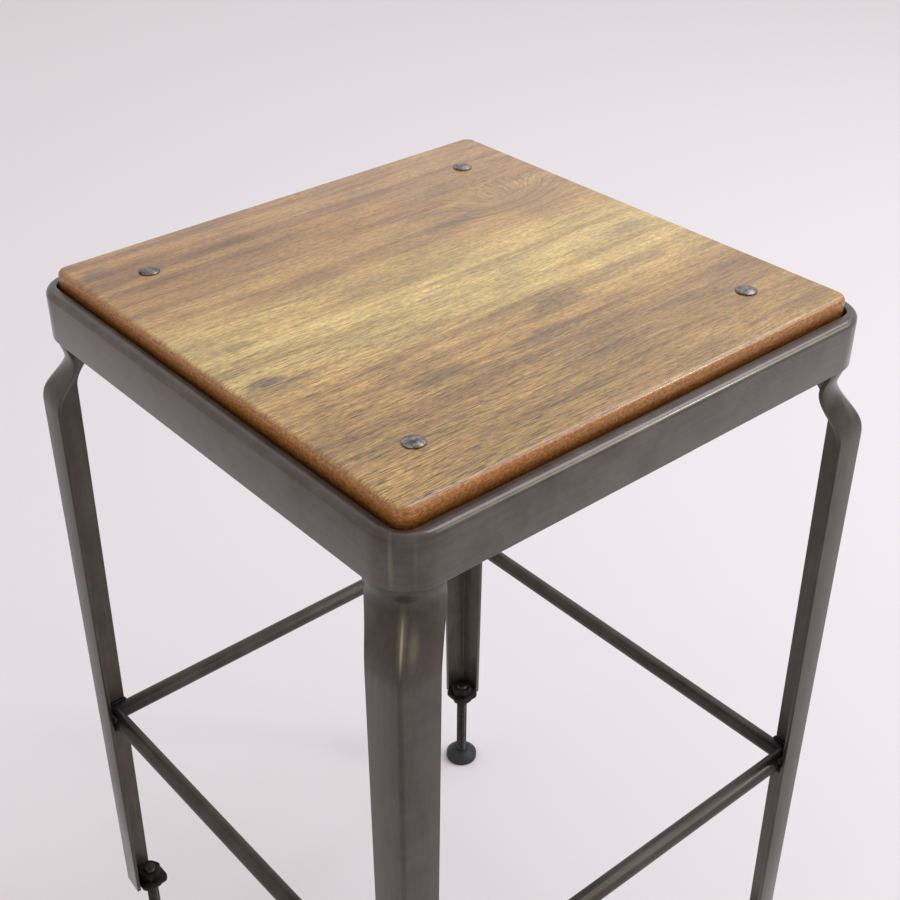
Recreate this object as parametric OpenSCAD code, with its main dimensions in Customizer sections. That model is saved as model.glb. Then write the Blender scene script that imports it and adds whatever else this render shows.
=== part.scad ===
// Square bar stool with an inset timber seat, pressed pan, folded angle legs and a welded footrest.
// Origin on the floor under the seat's middle, +Z up, sides parallel to X and Y, millimetres.

/* [Seat board] */
// Height of the seat above the floor
seat_h = 660; // [560:1:780]
// Side of the square timber board
board_w = 353; // [330:1:356]
// Thickness of the board
board_t = 20; // [16:0.5:24]
// Radius of the board's corners, seen from above
board_corner_r = 8; // [6:0.5:16]
// Radius of the worn top edge
board_edge_r = 3.75; // [1:0.25:6]
// Number of timber staves glued side by side
stave_count = 4; // [4]

/* [Seat pan] */
// Side of the pressed pan, across its skirt
pan_w = 376; // [370:1:384]
// Radius of the pan's corners
pan_corner_r = 26; // [20:1:34]
// How far the rim stands below the seat's top
rim_drop = 10.5; // [8:0.5:14]
// Height of the skirt from rim to lower edge
skirt_h = 34; // [28:1:40]
// Radius pressed into the rim's outer edge
rim_edge_r = 4; // [2:0.25:5]
// Thickness of the pan's plate
plate_t = 1.6; // [1.2:0.1:2]
// Thickness of the skirt
skirt_t = 2; // [1.5:0.1:3]
// Gap between the board and the recess it lies in
board_gap = 2; // [1:0.25:3]

/* [Seat bolts] */
// Distance between neighbouring bolts
bolt_pitch = 264; // [240:1:280]
// Diameter of the bolt's shank
bolt_d = 6; // [5:1:8]
// Diameter of the low domed head
head_d = 13.4; // [11:0.1:16]
// Height of the domed head
head_h = 2.2; // [1.5:0.1:4]

/* [Legs] */
// Half the distance between the legs' outer faces below the knee
leg_out = 192.5; // [188:0.5:200]
// Half the distance between the legs' outer faces at the neck
neck_out = 183.5; // [180:0.5:185]
// Thickness of the angle
leg_t = 3; // [2:0.5:4]
// Width of a flange at the neck
neck_flange = 30.5; // [28:0.5:34]
// Width of a flange just below the knee
knee_flange = 26.5; // [24:0.5:28]
// Width of a flange at the foot
foot_flange = 21; // [19:0.5:26]
// How far the flanges spread outwards below the knee, for each millimetre of their width
flange_spread = 0.08; // [0:0.01:0.15]
// How much sooner the fold turns sharp than the knee ends
fold_lead = 1.25; // [1:0.05:1.5]
// How far below the seat's top the neck is narrowest
neck_drop = 58; // [54:1:62]
// How far below the seat's top the knee ends
knee_drop = 98; // [90:1:116]
// Height of the legs' lower ends above the floor
leg_end_h = 82; // [50:1:90]

/* [Footrest] */
// Diameter of the footrest rails
rail_d = 12.7; // [10:0.1:16]
// Height of the rails' middle above the floor
rail_h = 273; // [200:1:330]

/* [Levelling feet] */
// Thickness of the plate inside each leg's end
foot_plate_t = 4; // [3:0.5:6]
// Side of that plate
foot_plate_w = 23.5; // [22:0.5:26]
// Diameter of the threaded stem
stem_d = 9.8; // [8:0.1:12]
// Height of the pad on the floor
pad_h = 11; // [8:0.5:14]
// Diameter of the pad
pad_d = 30; // [24:1:30]

/* [Hidden] */
$fn = 96;

// Finishes
timber = "#9a6b35";
timber_light = "#ad8140";
gunmetal = "#6b6866";
dark_steel = "#4a4846";
zinc = "#8d8d8d";
rubber = "#26262a";

// Corners as signs of x and y
FRONT_LEFT = [-1, -1];
FRONT_RIGHT = [1, -1];
BACK_RIGHT = [1, 1];
BACK_LEFT = [-1, 1];

// Levels of the seat
rim_z = seat_h - rim_drop;
skirt_z = rim_z - skirt_h;
recess_z = seat_h - board_t;
plate_z = recess_z - plate_t;
recess_half = board_w / 2 + board_gap;
recess_r = board_corner_r + board_gap;
skirt_in = pan_w / 2 - skirt_t;
stave_w = board_w / stave_count;
bolt_hole_d = bolt_d + 0.5;
washer_t = 1.5;
nut_h = 5;
nut_af = 10;
bolt_end_z = plate_z - washer_t - nut_h - 2;

// Legs
leg_top_z = plate_z;
neck_r = pan_corner_r - skirt_t;
fold_r = 3;
arc_steps = 9;
neck_z = seat_h - neck_drop;
knee_z = seat_h - knee_drop;

// Footrest: the ring lies against the inner faces of the angles
rail_off = leg_out - leg_t - rail_d / 2;
rail_len = 2 * (leg_out - leg_t);

// Levelling feet
foot_off = leg_out - leg_t - 12;
foot_plate_r = 5;
foot_nut_af = 17;
weld_nut_h = 8;
lock_nut_h = 5;
thread_gap = 0.05;
stem_seat_z = 3;
stem_top_z = leg_end_h + foot_plate_t + weld_nut_h + 2;

// Smooth step from 0 to 1
function ease(t) = let (u = min(1, max(0, t))) u * u * (3 - 2 * u);
function mix(a, b, t) = a + (b - a) * t;

// The leg's outer face, corner radius, flange width and spread at a height
function leg_face(z) = z > neck_z
  ? mix(neck_out, skirt_in, ease((z - neck_z) / (skirt_z - neck_z)))
  : mix(neck_out, leg_out, ease((neck_z - z) / (neck_z - knee_z)));
function leg_corner(z) = mix(neck_r, fold_r, ease(fold_lead * (neck_z - z) / (neck_z - knee_z)));
function leg_flange(z) = z > knee_z
  ? mix(neck_flange, knee_flange, ease((neck_z - z) / (neck_z - knee_z)))
  : mix(knee_flange, foot_flange, (knee_z - z) / (knee_z - leg_end_h));
function leg_spread(z) = flange_spread * ease((neck_z - z) / (neck_z - knee_z));

// A quarter circle about a middle, from one angle to another
function quarter(mid, r, from, to) = [
  for (i = [0 : arc_steps - 1])
    let (a = mix(from, to, i / (arc_steps - 1))) [mid + r * cos(a), mid + r * sin(a)]
];

// One ring of the folded angle, with its outer corner towards +X +Y
function leg_ring(z) =
  let (face = leg_face(z), r = leg_corner(z), end = face - leg_flange(z), ri = max(0.8, r - leg_t))
  let (spread = leg_spread(z), fold = face - r)
  [for (p = concat(
    [[face, end]],
    quarter(face - r, r, 0, 90),
    [[end, face], [end, face - leg_t]],
    quarter(face - leg_t - ri, ri, 90, 0),
    [[face - leg_t, end]]
  )) [p[0] + spread * max(0, fold - p[1]), p[1] + spread * max(0, fold - p[0]), z]];

// A square slab with round corners and a round top edge
module eased_slab(half, corner_r, bottom, top, edge_r) {
  h = top - bottom;
  reach = half - corner_r;
  translate([0, 0, bottom]) {
    for (turn = [0, 90])
      rotate([90, 0, turn]) linear_extrude(2 * reach, center = true)
        for (side = [0, 1]) mirror([side, 0]) edge_profile(half, h, edge_r);
    for (x = [-1, 1], y = [-1, 1])
      translate([x * reach, y * reach]) rotate_extrude() edge_profile(corner_r, h, edge_r);
  }
}

// Half of a slab's upright section
module edge_profile(half, h, edge_r) {
  square([half, h - edge_r]);
  square([half - edge_r, h]);
  translate([half - edge_r, h - edge_r]) intersection() {
    circle(edge_r);
    square(edge_r);
  }
}

// A square prism with round corners
module round_block(half, corner_r, bottom, top) {
  translate([0, 0, bottom]) linear_extrude(top - bottom) round_square(half, corner_r);
}

module round_square(half, corner_r) {
  square([2 * half, 2 * (half - corner_r)], center = true);
  square([2 * (half - corner_r), 2 * half], center = true);
  for (x = [-1, 1], y = [-1, 1]) translate([x, y] * (half - corner_r)) circle(corner_r);
}

// A plain hexagon nut standing on the XY plane
module hex_nut(flats, h, bore_d) {
  difference() {
    cylinder(h, d = flats / cos(30), $fn = 6);
    translate([0, 0, -1]) cylinder(h + 2, d = bore_d);
  }
}

module at_bolts() {
  for (x = [-1, 1], y = [-1, 1]) translate([x, y] * bolt_pitch / 2) children();
}

module at_corner(corner, off) {
  translate(corner * off) children();
}

module bolt_holes(bottom, top) {
  at_bolts() translate([0, 0, bottom - 1]) cylinder(top - bottom + 2, d = bolt_hole_d);
}

// One glued stave of the seat board, its grain along X
module seat_stave(i) {
  color(i % 2 == 0 ? timber : timber_light) intersection() {
    difference() {
      eased_slab(board_w / 2, board_corner_r, recess_z, seat_h, board_edge_r);
      bolt_holes(recess_z, seat_h);
    }
    translate([-board_w / 2 - 1, -board_w / 2 + i * stave_w, recess_z - 1])
      cube([board_w + 2, stave_w, board_t + 2]);
  }
}

// Pressed pan: skirt, rounded rim and a shallow recess for the board
module seat_pan() {
  color(gunmetal) difference() {
    eased_slab(pan_w / 2, pan_corner_r, skirt_z, rim_z, rim_edge_r);
    round_block(recess_half, recess_r, recess_z, rim_z + 1);
    round_block(skirt_in, neck_r, skirt_z - 1, plate_z);
    difference() {
      round_block(skirt_in, neck_r, plate_z - 1, rim_z - plate_t);
      round_block(recess_half + plate_t, recess_r + plate_t, plate_z - 2, rim_z);
    }
    bolt_holes(plate_z, recess_z);
  }
}

// Bolts with low domed heads, through board and pan
module seat_bolts() {
  dome_r = (head_h * head_h + head_d * head_d / 4) / (2 * head_h);
  color(zinc) at_bolts() {
    translate([0, 0, seat_h]) intersection() {
      translate([0, 0, head_h - dome_r]) sphere(dome_r);
      cylinder(head_h, d = head_d);
    }
    translate([0, 0, bolt_end_z]) cylinder(seat_h - bolt_end_z, d = bolt_d);
  }
}

module seat_washers() {
  color(zinc) at_bolts() translate([0, 0, plate_z - washer_t]) difference() {
    cylinder(washer_t, d = 2 * bolt_d);
    translate([0, 0, -1]) cylinder(washer_t + 2, d = bolt_hole_d);
  }
}

module seat_nuts() {
  color(zinc) at_bolts() translate([0, 0, plate_z - washer_t - nut_h])
    hex_nut(nut_af, nut_h, bolt_d);
}

// One leg, folded from sheet, with its knee
module leg(corner) {
  levels = concat(
    [leg_top_z, skirt_z + 4],
    [for (z = [skirt_z : -3 : knee_z - 6]) z],
    [for (i = [1 : 4]) mix(knee_z - 8, leg_end_h, i / 4)]
  );
  rings = [for (z = levels) leg_ring(z)];
  n = len(rings[0]);
  last = (len(rings) - 1) * n;
  points = [for (ring = rings) for (p = ring) p];
  sides = [
    for (k = [0 : len(rings) - 2], i = [0 : n - 1])
      let (a = k * n + i, b = k * n + (i + 1) % n) each [[a, b, b + n], [a, b + n, a + n]]
  ];
  top = [[for (i = [n - 1 : -1 : 0]) i]];
  bottom = [[for (i = [0 : n - 1]) last + i]];
  color(gunmetal) mirror([corner[0] < 0 ? 1 : 0, 0, 0]) mirror([0, corner[1] < 0 ? 1 : 0, 0])
    polyhedron(points, concat(sides, top, bottom));
}

// One footrest rail along X, mitred at both ends, turned about the middle
module rail(turn) {
  color(gunmetal) rotate(turn) intersection() {
    translate([-rail_len / 2, -rail_off, rail_h]) rotate([0, 90, 0]) cylinder(rail_len, d = rail_d);
    translate([0, 0, rail_h - rail_d]) linear_extrude(2 * rail_d)
      polygon([[0, 0], [-leg_out, -leg_out], [leg_out, -leg_out]]);
  }
}

// Plate inside the leg's end that the levelling foot screws into
module foot_plate(corner) {
  color(dark_steel) difference() {
    translate([0, 0, leg_end_h]) linear_extrude(foot_plate_t)
      at_corner(corner, leg_out - leg_t - foot_plate_w / 2) round_square(foot_plate_w / 2, foot_plate_r);
    at_corner(corner, foot_off) translate([0, 0, leg_end_h - 1])
      cylinder(foot_plate_t + 2, d = stem_d + 2 * thread_gap);
  }
}

module weld_nuts() {
  color(dark_steel) for (x = [-1, 1], y = [-1, 1])
    at_corner([x, y], foot_off) translate([0, 0, leg_end_h + foot_plate_t])
      hex_nut(foot_nut_af, weld_nut_h, stem_d + 2 * thread_gap);
}

// Nut that locks the stem against the plate
module lock_nut(corner) {
  color(zinc) at_corner(corner, foot_off) translate([0, 0, leg_end_h - lock_nut_h])
    hex_nut(foot_nut_af, lock_nut_h, stem_d);
}

// Threaded stem of a levelling foot
module stem(corner) {
  color(zinc) at_corner(corner, foot_off) translate([0, 0, stem_seat_z])
    cylinder(stem_top_z - stem_seat_z, d = stem_d);
}

// Pad on the floor, with a collar round the stem
module pad(corner) {
  color(rubber) at_corner(corner, foot_off) difference() {
    union() {
      cylinder(pad_h / 2, d = pad_d);
      translate([0, 0, pad_h / 2]) cylinder(pad_h / 2, d1 = pad_d, d2 = pad_d * 0.6);
    }
    translate([0, 0, stem_seat_z]) cylinder(pad_h, d = stem_d);
  }
}

seat_stave(0);  // seat_stave_1
seat_stave(1);  // seat_stave_2
seat_stave(2);  // seat_stave_3
seat_stave(3);  // seat_stave_4
seat_pan();
seat_bolts();
seat_washers();
seat_nuts();
leg(FRONT_LEFT);  // leg_front_left
leg(FRONT_RIGHT);  // leg_front_right
leg(BACK_RIGHT);  // leg_back_right
leg(BACK_LEFT);  // leg_back_left
rail(0);  // rail_front
rail(90);  // rail_right
rail(180);  // rail_back
rail(270);  // rail_left
foot_plate(FRONT_LEFT);  // foot_plate_front_left
foot_plate(FRONT_RIGHT);  // foot_plate_front_right
foot_plate(BACK_RIGHT);  // foot_plate_back_right
foot_plate(BACK_LEFT);  // foot_plate_back_left
weld_nuts();
lock_nut(FRONT_LEFT);  // lock_nut_front_left
lock_nut(FRONT_RIGHT);  // lock_nut_front_right
lock_nut(BACK_RIGHT);  // lock_nut_back_right
lock_nut(BACK_LEFT);  // lock_nut_back_left
stem(FRONT_LEFT);  // stem_front_left
stem(FRONT_RIGHT);  // stem_front_right
stem(BACK_RIGHT);  // stem_back_right
stem(BACK_LEFT);  // stem_back_left
pad(FRONT_LEFT);  // pad_front_left
pad(FRONT_RIGHT);  // pad_front_right
pad(BACK_RIGHT);  // pad_back_right
pad(BACK_LEFT);  // pad_back_left
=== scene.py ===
import math

import bpy
from mathutils import Euler, Matrix, Vector


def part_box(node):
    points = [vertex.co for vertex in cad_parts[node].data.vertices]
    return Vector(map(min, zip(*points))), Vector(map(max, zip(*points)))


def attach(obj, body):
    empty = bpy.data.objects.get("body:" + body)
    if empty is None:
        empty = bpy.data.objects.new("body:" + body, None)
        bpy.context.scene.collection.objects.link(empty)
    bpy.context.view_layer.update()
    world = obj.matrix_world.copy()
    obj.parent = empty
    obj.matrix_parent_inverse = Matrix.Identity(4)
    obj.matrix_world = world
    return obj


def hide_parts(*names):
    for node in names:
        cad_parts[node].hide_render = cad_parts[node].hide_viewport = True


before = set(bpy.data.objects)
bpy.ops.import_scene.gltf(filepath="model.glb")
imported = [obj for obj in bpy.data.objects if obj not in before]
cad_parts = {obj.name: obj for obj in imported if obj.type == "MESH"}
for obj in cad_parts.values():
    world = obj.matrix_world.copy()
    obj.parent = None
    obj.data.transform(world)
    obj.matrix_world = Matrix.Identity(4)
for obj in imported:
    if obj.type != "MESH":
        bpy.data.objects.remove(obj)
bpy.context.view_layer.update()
mm = 0.001
fold = {"From Min": 0.3, "From Max": 0.7}  # a cloudy pattern keeps mostly between these
near = 0.1 * mm  # two levels closer than this are the same one
corners = {"front_left": (-1, -1), "front_right": (1, -1), "back_right": (1, 1), "back_left": (-1, 1)}


def hexColor(text):  # sRGB hex to linear
    parts = [int(text[i:i + 2], 16) / 255 for i in (1, 3, 5)]
    return [p / 12.92 if p <= 0.04045 else ((p + 0.055) / 1.055) ** 2.4 for p in parts] + [1.0]


def deselectAll():
    if bpy.context.object and bpy.context.object.mode != "OBJECT":
        bpy.ops.object.mode_set(mode="OBJECT")
    bpy.ops.object.select_all(action="DESELECT")


def pick(piece):
    deselectAll()
    piece.select_set(True)
    bpy.context.view_layer.objects.active = piece


def selectFaces(piece, test):  # test gets a face's middle and its normal; ends in edit mode
    pick(piece)
    bpy.ops.object.mode_set(mode="EDIT")
    bpy.ops.mesh.select_mode(type="FACE")
    bpy.ops.mesh.select_all(action="DESELECT")
    bpy.ops.object.mode_set(mode="OBJECT")
    for face in piece.data.polygons:
        face.select = bool(test(face.center, face.normal))
    bpy.ops.object.mode_set(mode="EDIT")


def bevelEdges(piece, width, segments, test):  # test gets an edge's two ends
    pick(piece)
    bpy.ops.object.mode_set(mode="EDIT")
    bpy.ops.mesh.select_mode(type="EDGE")
    bpy.ops.mesh.select_all(action="DESELECT")
    bpy.ops.object.mode_set(mode="OBJECT")
    points = piece.data.vertices
    for edge in piece.data.edges:
        edge.select = bool(test(points[edge.vertices[0]].co, points[edge.vertices[1]].co))
    bpy.ops.object.mode_set(mode="EDIT")
    bpy.ops.mesh.bevel(offset=width, segments=segments, affect="EDGES")
    bpy.ops.object.mode_set(mode="OBJECT")


def cutOff(piece, place, outward):  # everything past a plane goes, and the cut is closed
    pick(piece)
    bpy.ops.object.mode_set(mode="EDIT")
    bpy.ops.mesh.select_all(action="SELECT")
    bpy.ops.mesh.bisect(plane_co=place, plane_no=outward, clear_outer=True, use_fill=True)
    bpy.ops.object.mode_set(mode="OBJECT")


def applyPlace(piece):
    pick(piece)
    bpy.ops.object.transform_apply(location=True, rotation=True, scale=True)


def newBlock(name, low, high):  # a cube between two corners, its place in its mesh
    middle = (Vector(low) + Vector(high)) / 2
    size = Vector(high) - Vector(low)
    deselectAll()
    bpy.ops.mesh.primitive_cube_add(size=1, location=middle, scale=size)
    piece = bpy.context.object
    piece.name = name
    applyPlace(piece)
    return piece


def newRound(name, place, radius, depth, sides, turn=(0, 0, 0)):
    deselectAll()
    bpy.ops.mesh.primitive_cylinder_add(vertices=sides, radius=radius, depth=depth, location=place,
                                        rotation=turn)
    piece = bpy.context.object
    piece.name = name
    applyPlace(piece)
    return piece


def applyModifiers(piece):
    pick(piece)
    for modifier in list(piece.modifiers):
        bpy.ops.object.modifier_apply(modifier=modifier.name)


def bevelAll(piece, width, segments, angle):
    bevel = piece.modifiers.new("bevel", "BEVEL")
    bevel.width = width
    bevel.segments = segments
    bevel.limit_method = "ANGLE"
    bevel.angle_limit = math.radians(angle)
    applyModifiers(piece)


def smooth(piece, angle):
    pick(piece)
    bpy.ops.object.shade_smooth_by_angle(angle=math.radians(angle))


def copyPiece(piece, name, place=(0, 0, 0), turn=0.0):  # its own mesh, turned about Z and then moved
    twin = piece.copy()
    twin.data = piece.data.copy()
    twin.name = name
    bpy.context.collection.objects.link(twin)
    twin.data.transform(Matrix.Translation(place) @ Matrix.Rotation(turn, 4, "Z"))
    return twin


def joinPieces(pieces, name):
    deselectAll()
    for piece in pieces:
        piece.select_set(True)
    bpy.context.view_layer.objects.active = pieces[0]
    bpy.ops.object.join()
    pieces[0].name = name
    return pieces[0]


def finishPiece(piece, body, material, replaced):
    if material is not None:
        piece.data.materials.clear()
        piece.data.materials.append(material)
    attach(piece, body)
    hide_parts(*replaced)


def newMaterial(name):
    material = bpy.data.materials.new(name)
    material.use_nodes = True
    tree = material.node_tree
    return material, tree, tree.nodes["Principled BSDF"]


def addNode(tree, kind, settings=None, links=None):
    # settings: attributes, sockets or a ramp's stops; links: socket to (node, output)
    node = tree.nodes.new(kind)
    for key, value in (settings or {}).items():
        if key == "stops":
            elements = node.color_ramp.elements
            while len(elements) < len(value):
                elements.new(0.5)
            for element, (position, color) in zip(elements, value):
                element.position = position
                element.color = hexColor(color)
        elif isinstance(key, str) and hasattr(node, key):
            setattr(node, key, value)
        else:
            node.inputs[key].default_value = value
    for key, (source, output) in (links or {}).items():
        tree.links.new(source.outputs[output], node.inputs[key])
    return node


def cellPattern(tree, coords, along, across, upright, detail, roughness, offset=(0, 0, 0)):
    # a cloudy pattern whose cells are so many millimetres long in X, Y and Z
    mapping = addNode(tree, "ShaderNodeMapping",
                      {"Location": offset, "Scale": (1000 / along, 1000 / across, 1000 / upright)},
                      {"Vector": coords})
    return addNode(tree, "ShaderNodeTexNoise", {"Scale": 1.0, "Detail": detail, "Roughness": roughness},
                   {"Vector": (mapping, "Vector")})


def lacqueredMango(name, look):
    # Satin-lacquered mango wood: honey brown with a golden band, grey-brown smudges and open dark pores
    material, tree, shader = newMaterial(name)
    coords = (addNode(tree, "ShaderNodeTexCoord"), "Object")
    seed = look["seed"]
    wobble = cellPattern(tree, coords, 150, 34, 34, 2.0, 0.5)
    bent = addNode(tree, "ShaderNodeVectorMath", {"operation": "MULTIPLY_ADD", 1: (0.0, 12 * mm, 0.0)},
                   {0: (wobble, "Color"), 2: coords})
    # round the knot the grain runs in loops
    around = ellipseReach(tree, coords, grain["knot"])
    pull = addNode(tree, "ShaderNodeMapRange", {"interpolation_type": "SMOOTHSTEP", "From Max": 1.0,
                                                "To Min": grain["knotPull"] * mm, "To Max": 0.0},
                   {"Value": (around, "Value")})
    shift = addNode(tree, "ShaderNodeCombineXYZ", links={"Y": (pull, "Result")})
    looped = addNode(tree, "ShaderNodeVectorMath", {"operation": "ADD"},
                     {0: (bent, "Vector"), 1: (shift, "Vector")})
    lines = (looped, "Vector")

    band = cellPattern(tree, lines, 260, 13, 40, 3.0, 0.6, (seed, seed, 0))
    brown = addNode(tree, "ShaderNodeValToRGB", {"stops": look["browns"]}, {"Fac": (band, "Fac")})
    gold = addNode(tree, "ShaderNodeValToRGB", {"stops": grain["golds"]}, {"Fac": (band, "Fac")})
    place = addNode(tree, "ShaderNodeSeparateXYZ", links={"Vector": (bent, "Vector")})
    lean = addNode(tree, "ShaderNodeMath", {"operation": "MULTIPLY_ADD", 1: grain["goldLean"]},
                   {0: (place, "X"), 2: (place, "Y")})
    fromGold = addNode(tree, "ShaderNodeMath", {"operation": "SUBTRACT", 1: grain["goldMiddle"] * mm},
                       {0: (lean, "Value")})
    away = addNode(tree, "ShaderNodeMath", {"operation": "ABSOLUTE"}, {0: (fromGold, "Value")})
    golden = addNode(tree, "ShaderNodeMapRange",
                     {"interpolation_type": "SMOOTHSTEP", "From Min": grain["goldHalf"] * mm * 0.35,
                      "From Max": grain["goldHalf"] * mm * 1.5, "To Min": 1.0, "To Max": 0.0},
                     {"Value": (away, "Value")})
    tone = addNode(tree, "ShaderNodeMix", {"data_type": "RGBA"},
                   {0: (golden, "Result"), 6: (brown, "Color"), 7: (gold, "Color")})

    # cloudy patches a few centimetres long, and the darker smudges between the pores
    cloud = cellPattern(tree, coords, 60, 24, 24, 3.0, 0.6, (2.2, seed * 0.1, 0))
    cloudLight = addNode(tree, "ShaderNodeMapRange", {**fold, "To Min": 0.76, "To Max": 1.22},
                         {"Value": (cloud, "Fac")})
    clouded = addNode(tree, "ShaderNodeVectorMath", {"operation": "SCALE"},
                      {0: (tone, 2), "Scale": (cloudLight, "Result")})
    ragged = cellPattern(tree, coords, 22, 3.2, 8, 4.0, 0.65, (seed, 5, 0))
    loose = addNode(tree, "ShaderNodeMapRange",
                    {"From Min": 0.53, "From Max": 0.74, "To Max": look["streaks"]},
                    {"Value": (ragged, "Fac")})
    spots = (loose, "Result")
    for smudge in grain["smudges"]:
        reach = ellipseReach(tree, coords, smudge)
        frayed = addNode(tree, "ShaderNodeMath", {"operation": "MULTIPLY_ADD", 1: -2.6, 2: 1.3},
                         {0: (ragged, "Fac")})
        edge = addNode(tree, "ShaderNodeMath", {"operation": "ADD"},
                       {0: (reach, "Value"), 1: (frayed, "Value")})
        spot = addNode(tree, "ShaderNodeMapRange",
                       {"From Min": 0.45, "From Max": 1.15, "To Min": smudge[4], "To Max": 0.0},
                       {"Value": (edge, "Value")})
        most = addNode(tree, "ShaderNodeMath", {"operation": "MAXIMUM"}, {0: spots, 1: (spot, "Result")})
        spots = (most, "Value")
    smudged = addNode(tree, "ShaderNodeMix", {"data_type": "RGBA", 7: hexColor(grain["smudgeColor"])},
                      {0: spots, 6: (clouded, "Vector")})

    fibre = cellPattern(tree, lines, 26, 0.95, 2, 2.0, 0.65, (seed, 9 + seed, 0))
    fibreLight = addNode(tree, "ShaderNodeMapRange", {**fold, "To Min": 0.72, "To Max": 1.24},
                         {"Value": (fibre, "Fac")})
    speckle = cellPattern(tree, lines, 5, 1.5, 2, 3.0, 0.7, (seed, 3 + seed, 0))
    speckleTone = addNode(tree, "ShaderNodeValToRGB", {"stops": grain["speckle"]}, {"Fac": (speckle, "Fac")})
    speckled = addNode(tree, "ShaderNodeVectorMath", {"operation": "MULTIPLY"},
                       {0: (smudged, 2), 1: (speckleTone, "Color")})
    brighter = addNode(tree, "ShaderNodeMath", {"operation": "MULTIPLY", 1: grain["speckleLight"]},
                       {0: (fibreLight, "Result")})
    fibred = addNode(tree, "ShaderNodeVectorMath", {"operation": "SCALE"},
                     {0: (speckled, "Vector"), "Scale": (brighter, "Value")})
    pore = cellPattern(tree, lines, 12, 0.42, 1.4, 2.0, 0.5, (seed, 17 + seed, 0))
    diagonal = addNode(tree, "ShaderNodeVectorMath", {"operation": "DOT_PRODUCT", 1: (1.0, 1.0, 0.0)},
                       {0: coords})
    poreWear = addNode(tree, "ShaderNodeMapRange",
                       {"From Min": -240 * mm, "From Max": 60 * mm,
                        "To Min": 1.0, "To Max": grain["poresFar"]},
                       {"Value": (diagonal, "Value")})
    poreOpen = addNode(tree, "ShaderNodeMapRange",
                       {"From Min": look["poreStart"], "From Max": look["poreStart"] + 0.09,
                        "To Max": look["poreDepth"]},
                       {"Value": (pore, "Fac")})
    poreMask = addNode(tree, "ShaderNodeMath", {"operation": "MULTIPLY"},
                       {0: (poreOpen, "Result"), 1: (poreWear, "Result")})
    pored = addNode(tree, "ShaderNodeMix", {"data_type": "RGBA", 7: hexColor(grain["poreColor"])},
                    {0: (poreMask, "Value"), 6: (fibred, "Vector")})

    # the rounded edge is stained orange-brown; painted shade darkens it low on the side, where the board sits
    # in the pan's recess
    facing = addNode(tree, "ShaderNodeSeparateXYZ", links={"Vector": (coords[0], "Normal")})
    side = addNode(tree, "ShaderNodeMapRange", {"From Min": 0.93, "From Max": 0.6}, {"Value": (facing, "Z")})
    edgeNoise = cellPattern(tree, coords, 2.2, 2.2, 1.2, 3.0, 0.6, (0, 0, 4))
    edgeTone = addNode(tree, "ShaderNodeValToRGB", {"stops": grain["edges"]}, {"Fac": (edgeNoise, "Fac")})
    edged = addNode(tree, "ShaderNodeMix", {"data_type": "RGBA"},
                    {0: (side, "Result"), 6: (pored, 2), 7: (edgeTone, "Color")})
    # painted shade: the board's side darkens towards its foot, down in the recess
    level = addNode(tree, "ShaderNodeSeparateXYZ", links={"Vector": coords})
    lowDown = addNode(tree, "ShaderNodeMapRange",
                      {"From Min": grain["topLevel"] - 5 * mm, "From Max": grain["topLevel"] - 11 * mm,
                       "To Max": 0.6},
                      {"Value": (level, "Z")})
    baseShaded = addNode(tree, "ShaderNodeMix", {"data_type": "RGBA", 7: hexColor(grain["baseShadeColor"])},
                     {0: (lowDown, "Result"), 6: (edged, 2)})
    tree.links.new(baseShaded.outputs[2], shader.inputs["Base Color"])

    rough = addNode(tree, "ShaderNodeMapRange", {**fold, "To Min": 0.36, "To Max": 0.54},
                    {"Value": (fibre, "Fac")})
    tree.links.new(rough.outputs["Result"], shader.inputs["Roughness"])
    shader.inputs["Coat Weight"].default_value = 0.55
    shader.inputs["Coat Roughness"].default_value = 0.14
    bumpFine = addNode(tree, "ShaderNodeBump", {"Strength": 0.4, "Distance": 0.12 * mm, "invert": True},
                       {"Height": (poreMask, "Value")})
    bump = addNode(tree, "ShaderNodeBump", {"Strength": 0.3, "Distance": 0.1 * mm},
                   {"Height": (fibre, "Fac"), "Normal": (bumpFine, "Normal")})
    tree.links.new(bump.outputs["Normal"], shader.inputs["Normal"])
    return material


def ellipseReach(tree, coords, spot):  # 0 in the middle of an ellipse on the seat, 1 on its outline
    x, y, halfLong, halfWide = spot[:4]
    scale = (1000 / halfLong, 1000 / halfWide, 0)
    mapping = addNode(tree, "ShaderNodeMapping",
                      {"Location": (-x / halfLong, -y / halfWide, 0), "Scale": scale}, {"Vector": coords})
    return addNode(tree, "ShaderNodeVectorMath", {"operation": "LENGTH"}, {0: (mapping, "Vector")})


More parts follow.
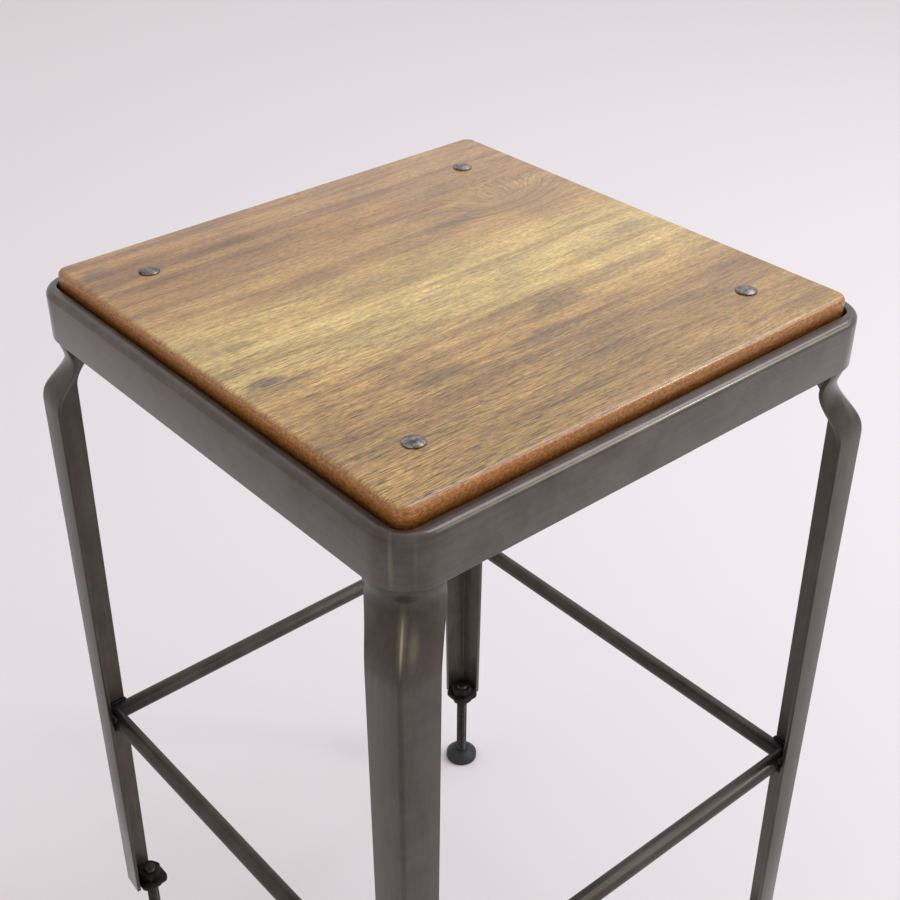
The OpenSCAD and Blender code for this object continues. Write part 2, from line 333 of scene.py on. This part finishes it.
def lacqueredSteel(name, look):
    # Clear-lacquered dark steel: cloudy brown-grey, faintly rub-streaked, a satin metal under a glossy film,
    # with painted highlights on the bends where a look lists them
    material, tree, shader = newMaterial(name)
    coords = (addNode(tree, "ShaderNodeTexCoord"), "Object")
    cloud = cellPattern(tree, coords, 26, 26, 26, 5.0, 0.62)
    tone = addNode(tree, "ShaderNodeValToRGB", {"stops": look["tones"]}, {"Fac": (cloud, "Fac")})
    rub = cellPattern(tree, coords, look["rub"][0], look["rub"][1], look["rub"][2], 2.0, 0.6)
    rubLight = addNode(tree, "ShaderNodeMapRange", {**fold, "To Min": 0.9, "To Max": 1.1},
                       {"Value": (rub, "Fac")})
    rubbedAndGlinting = addNode(tree, "ShaderNodeVectorMath", {"operation": "SCALE"},
                     {0: (tone, "Color"), "Scale": (rubLight, "Result")})
    last = (rubbedAndGlinting, "Vector")
    parts = addNode(tree, "ShaderNodeSeparateXYZ", links={"Vector": coords})
    sides = [addNode(tree, "ShaderNodeMath", {"operation": "ABSOLUTE"}, {0: (parts, axis)}) for axis in "XY"]
    bothSides = {0: (sides[0], 0), 1: (sides[1], 0)}
    if look.get("shadeNearLegs"):  # painted shade: the rails darken where they run into the legs
        nearest = addNode(tree, "ShaderNodeMath", {"operation": "MINIMUM"}, bothSides)
        railShade = addNode(tree, "ShaderNodeMapRange",
                       {"From Min": look["shadeNearLegs"][0], "From Max": look["shadeNearLegs"][1], "To Max": 0.85},
                       {"Value": (nearest, 0)})
        railShaded = addNode(tree, "ShaderNodeMix", {"data_type": "RGBA", 7: hexColor("#17161a")},
                        {0: (railShade, "Result"), 6: last})
        last = (railShaded, 2)
    if look.get("rubbedAndGlinting"):  # painted highlights: bright streaks down the bends, standing in for glints of light
        across = addNode(tree, "ShaderNodeMath", {"operation": "SUBTRACT"}, bothSides)
        place = addNode(tree, "ShaderNodeCombineXYZ", links={"X": (across, 0), "Y": (parts, "Z")})
        for middle, level, halfWide, halfHigh, strength in look["rubbedAndGlinting"]:
            reach = ellipseReach(tree, (place, "Vector"), (middle, level, halfWide, halfHigh))
            shine = addNode(tree, "ShaderNodeMapRange",
                            {"interpolation_type": "SMOOTHSTEP", "From Min": 0.15, "From Max": 1.0,
                             "To Min": strength, "To Max": 0.0},
                            {"Value": (reach, "Value")})
            bright = addNode(tree, "ShaderNodeMix", {"data_type": "RGBA", 7: hexColor("#c9b992")},
                             {0: (shine, "Result"), 6: last})
            last = (bright, 2)
    tree.links.new(last[0].outputs[last[1]], shader.inputs["Base Color"])
    low, high = look["roughness"]
    rough = addNode(tree, "ShaderNodeMapRange", {**fold, "To Min": low, "To Max": high},
                    {"Value": (cloud, "Fac")})
    tree.links.new(rough.outputs["Result"], shader.inputs["Roughness"])
    shader.inputs["Metallic"].default_value = look["metallic"]
    shader.inputs["Coat Weight"].default_value = look["coat"]
    shader.inputs["Coat Roughness"].default_value = 0.1
    grit = cellPattern(tree, coords, 0.9, 0.9, 0.9, 2.0, 0.6)
    bumpGrit = addNode(tree, "ShaderNodeBump", {"Strength": 0.12, "Distance": 0.05 * mm},
                       {"Height": (grit, "Fac")})
    bump = addNode(tree, "ShaderNodeBump", {"Strength": 0.15, "Distance": 0.05 * mm},
                   {"Height": (rub, "Fac"), "Normal": (bumpGrit, "Normal")})
    tree.links.new(bump.outputs["Normal"], shader.inputs["Normal"])
    return material


def plainFinish(name, look):
    # One base colour with a fine mottle: plated steel, dull mill steel or moulded nylon
    material, tree, shader = newMaterial(name)
    coords = (addNode(tree, "ShaderNodeTexCoord"), "Object")
    mottle = cellPattern(tree, coords, look["grain"], look["grain"], look["grain"], 4.0, 0.65)
    tone = addNode(tree, "ShaderNodeValToRGB", {"stops": look["tones"]}, {"Fac": (mottle, "Fac")})
    tree.links.new(tone.outputs["Color"], shader.inputs["Base Color"])
    low, high = look["roughness"]
    rough = addNode(tree, "ShaderNodeMapRange", {**fold, "To Min": low, "To Max": high},
                    {"Value": (mottle, "Fac")})
    tree.links.new(rough.outputs["Result"], shader.inputs["Roughness"])
    shader.inputs["Metallic"].default_value = look["metallic"]
    bump = addNode(tree, "ShaderNodeBump", {"Strength": look["bump"], "Distance": 0.1 * mm},
                   {"Height": (mottle, "Fac")})
    tree.links.new(bump.outputs["Normal"], shader.inputs["Normal"])
    return material


grain = {
    "golds": [(0.3, "#9b8456"), (0.44, "#b99f66"), (0.58, "#ccb57b"), (0.72, "#ae9460")],
    "goldMiddle": -8, "goldHalf": 44, "goldLean": 0.1,  # mm, mm, and how far it drifts forward to the right
    "knot": (118, 72, 62, 34), "knotPull": 26,
    # each: middle x and y, half length and half width in mm, strength
    "smudges": [
        (-156, -33, 14, 5, 0.8), (-80, -88, 26, 8, 0.6), (2, -93, 30, 9, 0.45), (33, -66, 24, 9, 0.6),
        (-150, 12, 18, 6, 0.4), (15, -122, 34, 12, 0.35), (-160, 150, 12, 8, 0.6), (60, 62, 30, 8, 0.5),
        (148, -18, 22, 8, 0.35), (-40, 30, 26, 7, 0.3), (90, 110, 34, 7, 0.35), (120, -60, 26, 8, 0.35)],
    # on the line below, the last colour is painted shade for the foot of the board's side
    "smudgeColor": "#5d4c40", "poreColor": "#40301f", "baseShadeColor": "#2c190d",
    "edges": [(0.3, "#6b3f0d"), (0.5, "#9c5f18"), (0.68, "#ba7f2c")],
    "speckle": [(0.34, "#a8a9ae"), (0.5, "#cbc7bb"), (0.64, "#e3d8b2")], "speckleLight": 1.76,
    "poresFar": 0.35,  # how deep the pores still look at the far side, where the lacquer has filled them
    "topLevel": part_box("seat_stave_1")[1].z,
}
staveLooks = [
    {"seed": 1.3, "streaks": 0.4, "poreStart": 0.53, "poreDepth": 0.9,
     "browns": [(0.3, "#7b5b3c"), (0.45, "#96764b"), (0.58, "#ac8c54"), (0.72, "#8f704c")]},
    {"seed": 7.9, "streaks": 0.4, "poreStart": 0.54, "poreDepth": 0.85,
     "browns": [(0.3, "#816240"), (0.45, "#9d7c4f"), (0.58, "#b39259"), (0.72, "#95744f")]},
    {"seed": 12.4, "streaks": 0.5, "poreStart": 0.6, "poreDepth": 0.6,
     "browns": [(0.3, "#7e603c"), (0.45, "#98784c"), (0.58, "#aa8b56"), (0.72, "#907048")]},
    {"seed": 20.2, "streaks": 0.45, "poreStart": 0.6, "poreDepth": 0.6,
     "browns": [(0.3, "#755431"), (0.45, "#916c40"), (0.58, "#a6824e"), (0.72, "#886540")]},
]
steelTones = [(0.3, "#433c36"), (0.5, "#514943"), (0.7, "#5e5650")]
legTones = [(0.3, "#38322e"), (0.5, "#453e38"), (0.7, "#504944")]
timbers = [lacqueredMango("lacquered mango wood " + str(i + 1), look) for i, look in enumerate(staveLooks)]
# the pan's corners get two streaks of painted highlight
panSteel = lacqueredSteel("gunmetal-lacquered pressed steel",
                          {"tones": steelTones, "rub": (30, 30, 2.5), "roughness": (0.3, 0.44), "coat": 0.5,
                           "metallic": 0.8, "rubbedAndGlinting": [(7.5, 632, 2.6, 28, 0.12), (-10, 632, 2.2, 26, 0.04)]})
# each leg's knee ridge gets streaks of painted highlight
legSteel = lacqueredSteel("gunmetal-lacquered folded steel",
                          {"tones": legTones, "rub": (3, 3, 30), "roughness": (0.32, 0.46), "coat": 0.4,
                           "metallic": 0.8,
                           "rubbedAndGlinting": [(0, 585, 1.5, 15, 0.5), (0, 587, 5, 19, 0.14),
                                      (-8.5, 583, 5.5, 13, 0.12)]})
# inside of the angle: duller than the legs, its tones lighter than theirs as painted fill light
legInside = lacqueredSteel("unpolished steel with painted fill light",
                           {"tones": [(0.3, "#443d38"), (0.5, "#514943"), (0.7, "#5d554e")],
                            "rub": (2, 2, 60), "roughness": (0.5, 0.65), "coat": 0.15, "metallic": 0.7})
# the rails carry painted shade close to the legs
railSteel = lacqueredSteel("gunmetal-lacquered drawn bar",
                           {"tones": legTones, "rub": (50, 50, 2), "roughness": (0.42, 0.55), "coat": 0.15,
                            "metallic": 0.7, "shadeNearLegs": (0.135, 0.178)})
boltSteel = plainFinish("blackened bolt steel",
                        {"tones": [(0.36, "#45423f"), (0.5, "#7b7773"), (0.64, "#a09c98")], "grain": 4.5,
                         "roughness": (0.25, 0.42), "metallic": 1.0, "bump": 0.6})
zincSteel = plainFinish("black-passivated zinc plate",
                        {"tones": [(0.3, "#2f2e2d"), (0.5, "#3d3c3b"), (0.7, "#4b4a49")], "grain": 3.0,
                         "roughness": (0.38, 0.5), "metallic": 1.0, "bump": 0.3})
darkSteel = plainFinish("dull as-welded steel",
                        {"tones": [(0.3, "#24211f"), (0.5, "#322f2d"), (0.7, "#403c39")], "grain": 5.0,
                         "roughness": (0.55, 0.7), "metallic": 1.0, "bump": 0.5})
blackNylon = plainFinish("moulded black nylon",
                         {"tones": [(0.3, "#18181a"), (0.6, "#202022")], "grain": 1.2,
                          "roughness": (0.5, 0.6), "metallic": 0.0, "bump": 0.3})
print("materials made")


cameraView = {"place": (-0.5253, -0.6153, 1.0605), "down": 33.37, "turn": -38.89, "roll": -0.85,
              "lens": 57.43, "shift": (0.0459, 0.0094)}
cameraData = bpy.data.cameras.new("camera")
cameraData.lens = cameraView["lens"]
cameraData.shift_x, cameraData.shift_y = cameraView["shift"]
camera = bpy.data.objects.new("camera", cameraData)
aim = Euler((math.radians(90 - cameraView["down"]), 0, math.radians(cameraView["turn"]))).to_matrix().to_4x4()
camera.matrix_world = (Matrix.Translation(cameraView["place"]) @ aim
                       @ Matrix.Rotation(math.radians(cameraView["roll"]), 4, "Z"))
bpy.context.collection.objects.link(camera)
bpy.context.scene.camera = camera

studio = {
    "key": {"place": (2.4, -2.4, 2.3), "size": 1.6, "power": 23, "color": "#fffaf4"},
    "glint": {"place": (2.5, -2.1, 2.5), "size": 0.45, "power": 17, "color": "#fffaf6"},
    "top": {"place": (1.7, -0.3, 3.0), "size": 1.8, "power": 40, "color": "#f2f5ff"},
    "back": {"place": (2.0, 2.5, 2.3), "size": 2.6, "power": 5, "color": "#e4ebff"},
}
for name, look in studio.items():
    light = bpy.data.lights.new(name, "AREA")
    light.size = look["size"]
    light.energy = look["power"]
    light.color = hexColor(look["color"])[:3]
    lamp = bpy.data.objects.new(name, light)
    lamp.location = look["place"]
    lamp.rotation_euler = (Vector((0, 0, 0.5)) - Vector(look["place"])).to_track_quat("-Z", "Y").to_euler()
    bpy.context.collection.objects.link(lamp)

world = bpy.data.worlds.new("studio")
world.use_nodes = True
world.node_tree.nodes["Background"].inputs["Color"].default_value = hexColor("#f4f0f0")
world.node_tree.nodes["Background"].inputs["Strength"].default_value = 0.84
bpy.context.scene.world = world
bpy.context.scene.view_settings.view_transform = "Standard"

deselectAll()
bpy.ops.mesh.primitive_plane_add(size=14, location=(0, 0, 0))
floor = bpy.context.object
floor.name = "floor"
floorPaint, floorTree, floorShader = newMaterial("pale studio floor")
floorShader.inputs["Base Color"].default_value = hexColor("#dedadc")
floorShader.inputs["Roughness"].default_value = 0.8
floor.data.materials.append(floorPaint)
print("camera, light and floor made")


seatBoard = {"edgeRound": 3.75 * mm, "cornerRound": 8 * mm, "underRound": 1.2 * mm}


def buildSeatBoard():
    boxes = [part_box("seat_stave_" + str(i + 1)) for i in range(4)]
    low, high = boxes[0][0], boxes[3][1]
    board = newBlock("seat_board", low, high)
    bevelEdges(board, seatBoard["cornerRound"], 10, lambda a, b: abs(a.z - b.z) > near)
    for level, width, segments in ((high.z, seatBoard["edgeRound"], 6), (low.z, seatBoard["underRound"], 2)):
        bevelEdges(board, width, segments, lambda a, b: abs(a.z - level) < near and abs(b.z - level) < near)
    for i, (staveLow, staveHigh) in enumerate(boxes):
        stave = copyPiece(board, "stave_" + str(i + 1))
        if i > 0:
            cutOff(stave, (0, staveLow.y, 0), (0, -1, 0))
        if i < 3:
            cutOff(stave, (0, staveHigh.y, 0), (0, 1, 0))
        smooth(stave, 40)
        finishPiece(stave, "frame", timbers[i], ["seat_stave_" + str(i + 1)])
    bpy.data.objects.remove(board)


buildSeatBoard()
print("seat board made")


seatPan = {"cornerRound": 26 * mm, "rimRound": 4 * mm, "lipRound": 1.1 * mm, "lowerRound": 0.8 * mm,
           "plate": 1.6 * mm, "skirt": 2 * mm, "gap": 2 * mm, "recess": 9.5 * mm, "boardCorner": 8 * mm,
           "trayDrop": 0.8 * mm, "overcut": 5 * mm,
           "notchStart": 26 * mm, "notchDeep": 4 * mm, "notchHigh": 0.6 * mm}


def roundedBlock(name, half, bottom, top, cornerRound):
    block = newBlock(name, (-half, -half, bottom), (half, half, top))
    bevelEdges(block, cornerRound, 16, lambda a, b: abs(a.z - b.z) > near)
    return block


def combine(piece, tool, operation):
    cut = piece.modifiers.new("cut", "BOOLEAN")
    cut.operation = operation
    cut.object = tool
    cut.solver = "EXACT"
    applyModifiers(piece)
    bpy.data.objects.remove(tool)


def isOutline(point, half, cornerRound):  # on the outermost wall of a square with round corners
    reach = half - cornerRound
    outward = math.hypot(max(abs(point.x) - reach, 0), max(abs(point.y) - reach, 0))
    return outward > cornerRound - near


def buildSeatPan():
    low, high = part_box("seat_pan")
    half, rim, over, cornerRound = high.x, high.z, seatPan["overcut"], seatPan["cornerRound"]
    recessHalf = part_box("seat_stave_4")[1].x + seatPan["gap"]
    recessRound = seatPan["boardCorner"] + seatPan["gap"]
    recessFloor = rim - seatPan["recess"]
    pan = roundedBlock("pressed_pan", half, low.z, rim, cornerRound)
    bevelEdges(pan, seatPan["rimRound"], 6, lambda a, b: min(a.z, b.z) > rim - near)
    bevelEdges(pan, seatPan["lowerRound"], 3,
               lambda a, b: max(a.z, b.z) < low.z + near and isOutline(a, half, cornerRound)
               and isOutline(b, half, cornerRound))
    hollow = roundedBlock("hollow", half - seatPan["skirt"], low.z - over, rim - seatPan["plate"],
                          cornerRound - seatPan["skirt"])
    combine(pan, hollow, "DIFFERENCE")
    tray = roundedBlock("tray", recessHalf + seatPan["plate"], recessFloor - seatPan["plate"],
                        rim - seatPan["trayDrop"], recessRound + seatPan["plate"])
    combine(pan, tray, "UNION")
    recess = roundedBlock("recess", recessHalf, recessFloor, rim + over, recessRound)
    combine(pan, recess, "DIFFERENCE")
    notch = newBlock("notch", (seatPan["notchStart"], -half - over, low.z - 1 * mm),
                     (half, -half + seatPan["notchDeep"], low.z + seatPan["notchHigh"]))
    combine(pan, notch, "DIFFERENCE")
    bevelEdges(pan, seatPan["lipRound"], 3,
               lambda a, b: min(a.z, b.z) > rim - near
               and max(abs(a.x), abs(a.y), abs(b.x), abs(b.y)) < recessHalf + near)
    smooth(pan, 35)
    finishPiece(pan, "frame", panSteel, ["seat_pan"])


buildSeatPan()
print("seat pan made")


legLook = {"edge": 0.5 * mm, "insideFrom": 174 * mm}


def buildLegs():
    for corner, (sx, sy) in corners.items():
        node = "leg_" + corner
        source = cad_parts[node]
        leg = source.copy()
        leg.data = source.data.copy()
        leg.name = "angle_leg_" + corner
        for key in list(leg.keys()):
            del leg[key]
        bpy.context.collection.objects.link(leg)
        leg.parent = None
        leg.matrix_world = Matrix.Identity(4)
        pick(leg)
        bpy.ops.object.mode_set(mode="EDIT")
        bpy.ops.mesh.select_all(action="SELECT")
        bpy.ops.mesh.remove_doubles(threshold=0.01 * mm)
        bpy.ops.object.mode_set(mode="OBJECT")
        bevelAll(leg, legLook["edge"], 2, 50)
        smooth(leg, 35)
        leg.data.materials.clear()
        leg.data.materials.append(legSteel)
        leg.data.materials.append(legInside)
        for face in leg.data.polygons:  # the inside of the angle gets a duller finish and a lighter colour, painted fill light for its shaded faces
            inX, inY = -face.normal.x * sx, -face.normal.y * sy
            depth = abs(face.center.x) if inX > inY else abs(face.center.y)
            face.material_index = 1 if inX + inY > 0.4 and depth > legLook["insideFrom"] else 0
        finishPiece(leg, "frame", None, [node])


buildLegs()
print("legs made")


footrest = {"sides": 40, "bead": 2.2 * mm, "lumps": 7, "beadStart": 6 * mm, "beadLean": 12}


def newBead(place, side):  # one lump of weld, a little shorter than wide
    deselectAll()
    bpy.ops.mesh.primitive_uv_sphere_add(segments=16, ring_count=10, radius=footrest["bead"] * 0.85,
                                         location=place, scale=(0.75, 1, 1),
                                         rotation=(0, 0, side * math.radians(footrest["beadLean"])))
    bead = bpy.context.object
    applyPlace(bead)
    smooth(bead, 80)
    return bead


def buildFootrest():
    low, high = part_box("rail_front")
    middle = (low + high) / 2
    radius = (high.z - low.z) / 2
    rail = newRound("rail", middle, radius, high.x - low.x + 10 * mm, footrest["sides"], (0, math.pi / 2, 0))
    for side in (-1, 1):  # mitre
        cutOff(rail, (side * abs(middle.y), middle.y, 0), (side, 1, 0))
    smooth(rail, 30)
    beadY = footrest["bead"] * 0.5 - abs(middle.y) - radius
    beads = []
    for side in (-1, 1):
        for level in (-1, 1):
            for step in range(footrest["lumps"]):
                beadX = side * (high.x - footrest["beadStart"] - step * footrest["bead"])
                beads.append(newBead((beadX, beadY, middle.z + level * radius * 0.72), side))
    rail = joinPieces([rail] + beads, "rail")
    for i, name in enumerate(("rail_front", "rail_right", "rail_back", "rail_left")):
        twin = copyPiece(rail, name + "_bar", turn=i * math.pi / 2)
        finishPiece(twin, "frame", railSteel, [name])
    bpy.data.objects.remove(rail)


buildFootrest()
print("footrest made")


boltLook = {"headRadius": 6.7 * mm, "headHeight": 2.2 * mm, "rim": 0.6 * mm, "shank": 3 * mm,
            "turn": 1.3}  # each head is turned on by so many radians


def buildSeatBolts():
    low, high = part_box("seat_bolts")
    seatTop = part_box("seat_stave_1")[1].z
    spread = (high.x - low.x) / 2 - boltLook["headRadius"]
    domeRise = boltLook["headHeight"] - boltLook["rim"]
    domeRadius = (domeRise ** 2 + boltLook["headRadius"] ** 2) / (2 * domeRise)
    deselectAll()
    bpy.ops.mesh.primitive_uv_sphere_add(segments=48, ring_count=240, radius=domeRadius,
                                         location=(0, 0, seatTop + boltLook["headHeight"] - domeRadius))
    head = bpy.context.object
    applyPlace(head)
    cutOff(head, (0, 0, seatTop + boltLook["rim"]), (0, 0, -1))
    selectFaces(head, lambda centre, normal: normal.z < -0.9)
    bpy.ops.mesh.extrude_region_move(TRANSFORM_OT_translate={"value": (0, 0, -boltLook["rim"])})
    bpy.ops.object.mode_set(mode="OBJECT")
    bevelAll(head, 0.25 * mm, 2, 50)
    shank = newRound("shank", (0, 0, (low.z + seatTop) / 2), boltLook["shank"], seatTop - low.z, 24)
    bevelAll(shank, 0.4 * mm, 2, 50)
    bolt = joinPieces([head, shank], "seat_bolt")
    smooth(bolt, 40)
    made = []
    for i, (name, (sx, sy)) in enumerate(corners.items()):
        made.append(copyPiece(bolt, "bolt_" + name, (sx * spread, sy * spread, 0), i * boltLook["turn"]))
    bpy.data.objects.remove(bolt)
    bolts = joinPieces(made, "carriage_bolts")
    finishPiece(bolts, "frame", boltSteel, ["seat_bolts"])


buildSeatBolts()

nutLook = {"chamfer": 1.0 * mm, "edge": 0.3 * mm}
footLook = {"plateRound": 5 * mm, "plateEdge": 0.4 * mm, "pitch": 1.5 * mm, "thread": 0.75 * mm,
            "padTaper": 0.6, "padEdge": 0.8 * mm, "padRim": 3 * mm, "padHollow": 0.8 * mm}


def bore(piece, place, radius, depth):
    combine(piece, newRound("bore", place, radius, depth, 40), "DIFFERENCE")


def newNut(name, low, high, boreRadius):  # a hexagon with its corners turned off
    middle = (low + high) / 2
    middle.x = middle.y = 0
    radius, height = (high.x - low.x) / 2, high.z - low.z
    nut = newRound(name, middle, radius, height, 6, (0, 0, math.radians(30)))
    turned = newRound("turned", middle, radius, height, 64)
    bevelAll(turned, nutLook["chamfer"] * radius / (10 * mm), 1, 50)
    combine(nut, turned, "INTERSECT")
    bore(nut, middle, boreRadius, height * 2)
    smooth(nut, 25)
    return nut


def placeAtCorners(piece, name, spread, body, material, node):  # one object for four copies
    made = [copyPiece(piece, name, (sx * spread, sy * spread, 0)) for sx, sy in corners.values()]
    bpy.data.objects.remove(piece)
    finishPiece(joinPieces(made, name), body, material, [node])


def buildSeatFixings():
    low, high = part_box("seat_washers")
    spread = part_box("seat_bolts")[1].x - boltLook["headRadius"]
    radius, level = high.x - spread, (low.z + high.z) / 2
    washer = newRound("washer", (0, 0, level), radius, high.z - low.z, 48)
    bore(washer, (0, 0, level), radius * 0.55, 10 * mm)
    bevelAll(washer, nutLook["edge"], 2, 50)
    smooth(washer, 35)
    placeAtCorners(washer, "plain_washers", spread, "frame", zincSteel, "seat_washers")
    low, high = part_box("seat_nuts")
    half = high.x - spread
    nut = newNut("nut", Vector((-half, -half, low.z)), Vector((half, half, high.z)), boltLook["shank"])
    placeAtCorners(nut, "hex_nuts", spread, "frame", zincSteel, "seat_nuts")


def newStem(low, high):  # rings of thread from the pad to the stem's top
    crest = (high.x - low.x) / 2
    root = crest - footLook["thread"]
    count = round((high.z - low.z) / footLook["pitch"])
    pitch = (high.z - low.z) / count
    halves = []
    for level, first, second in ((0.25, root, crest), (0.75, crest, root)):
        deselectAll()
        bpy.ops.mesh.primitive_cone_add(vertices=32, radius1=first, radius2=second, depth=pitch / 2,
                                        location=(0, 0, low.z + level * pitch), end_fill_type="NOTHING")
        applyPlace(bpy.context.object)
        halves.append(bpy.context.object)
    stem = joinPieces(halves, "stem")
    array = stem.modifiers.new("thread", "ARRAY")
    array.count = count
    array.use_relative_offset = False
    array.use_constant_offset = True
    array.constant_offset_displace = (0, 0, pitch)
    applyModifiers(stem)
    bpy.ops.object.mode_set(mode="EDIT")
    bpy.ops.mesh.select_all(action="SELECT")
    bpy.ops.mesh.remove_doubles(threshold=0.01 * mm)
    bpy.ops.mesh.select_all(action="SELECT")
    bpy.ops.mesh.fill_holes(sides=64)
    bpy.ops.mesh.select_all(action="SELECT")
    bpy.ops.mesh.normals_make_consistent(inside=False)
    bpy.ops.object.mode_set(mode="OBJECT")
    smooth(stem, 20)
    return stem


def newPad(low, high, stemLow, stemRadius):
    radius, height = (high.x - low.x) / 2, high.z - low.z
    pad = newRound("pad", (0, 0, low.z + height / 4), radius, height / 2, 64)
    selectFaces(pad, lambda centre, normal: normal.z > 0.9)
    bpy.ops.mesh.extrude_region_move(TRANSFORM_OT_translate={"value": (0, 0, height / 2)})
    bpy.ops.transform.resize(value=(footLook["padTaper"], footLook["padTaper"], 1))
    bpy.ops.object.mode_set(mode="OBJECT")
    selectFaces(pad, lambda centre, normal: normal.z < -0.9)
    bpy.ops.mesh.inset(thickness=footLook["padRim"])
    bpy.ops.mesh.extrude_region_move(TRANSFORM_OT_translate={"value": (0, 0, footLook["padHollow"])})
    bpy.ops.object.mode_set(mode="OBJECT")
    bevelAll(pad, footLook["padEdge"], 3, 30)
    bore(pad, (0, 0, stemLow + height), stemRadius, height * 2)
    smooth(pad, 30)
    return pad


def buildFeet():
    plateLow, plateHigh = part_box("foot_plate_back_right")
    nutLow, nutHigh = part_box("lock_nut_back_right")
    stemLow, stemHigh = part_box("stem_back_right")
    padLow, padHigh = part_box("pad_back_right")
    weldLow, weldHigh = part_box("weld_nuts")
    toFoot = Vector(((stemLow.x + stemHigh.x) / 2, (stemLow.y + stemHigh.y) / 2, 0))
    stemRadius = (stemHigh.x - stemLow.x) / 2
    halfNut = (nutHigh - nutLow) / 2
    plate = newBlock("plate", plateLow, plateHigh)
    bevelEdges(plate, footLook["plateRound"], 8, lambda a, b: abs(a.z - b.z) > near)
    bevelAll(plate, footLook["plateEdge"], 2, 50)
    bore(plate, toFoot + Vector((0, 0, (plateLow.z + plateHigh.z) / 2)), stemRadius, 20 * mm)
    smooth(plate, 35)
    lockNut = newNut("lock_nut", nutLow - toFoot, nutHigh - toFoot, stemRadius)
    weldNut = newNut("weld_nut", Vector((-halfNut.x, -halfNut.x, weldLow.z)),
                     Vector((halfNut.x, halfNut.x, weldHigh.z)), stemRadius)
    stem = newStem(stemLow - toFoot, stemHigh - toFoot)
    pad = newPad(padLow - toFoot, padHigh - toFoot, stemLow.z, stemRadius)
    movingParts = ((lockNut, "jam_nut_", "zinc_steel", zincSteel, "lock_nut_"),
                   (stem, "threaded_stem_", "zinc_steel", zincSteel, "stem_"),
                   (pad, "moulded_pad_", "pad_plastic", blackNylon, "pad_"))
    for corner, (sx, sy) in corners.items():
        turn = {(1, 1): 0, (-1, 1): 1, (-1, -1): 2, (1, -1): 3}[(sx, sy)] * math.pi / 2
        sheet = copyPiece(plate, "foot_plate_" + corner + "_sheet", turn=turn)
        finishPiece(sheet, "frame", darkSteel, ["foot_plate_" + corner])
        for part, name, slot, material, node in movingParts:
            twin = copyPiece(part, name + corner, (sx * toFoot.x, sy * toFoot.y, 0))
            finishPiece(twin, "foot_" + corner, material, [node + corner])
    for piece in (plate, lockNut, stem, pad):
        bpy.data.objects.remove(piece)
    placeAtCorners(weldNut, "weld_nuts_hex", toFoot.x, "frame", darkSteel, "weld_nuts")


buildSeatFixings()
print("seat fixings made")
buildFeet()
print("levelling feet made")
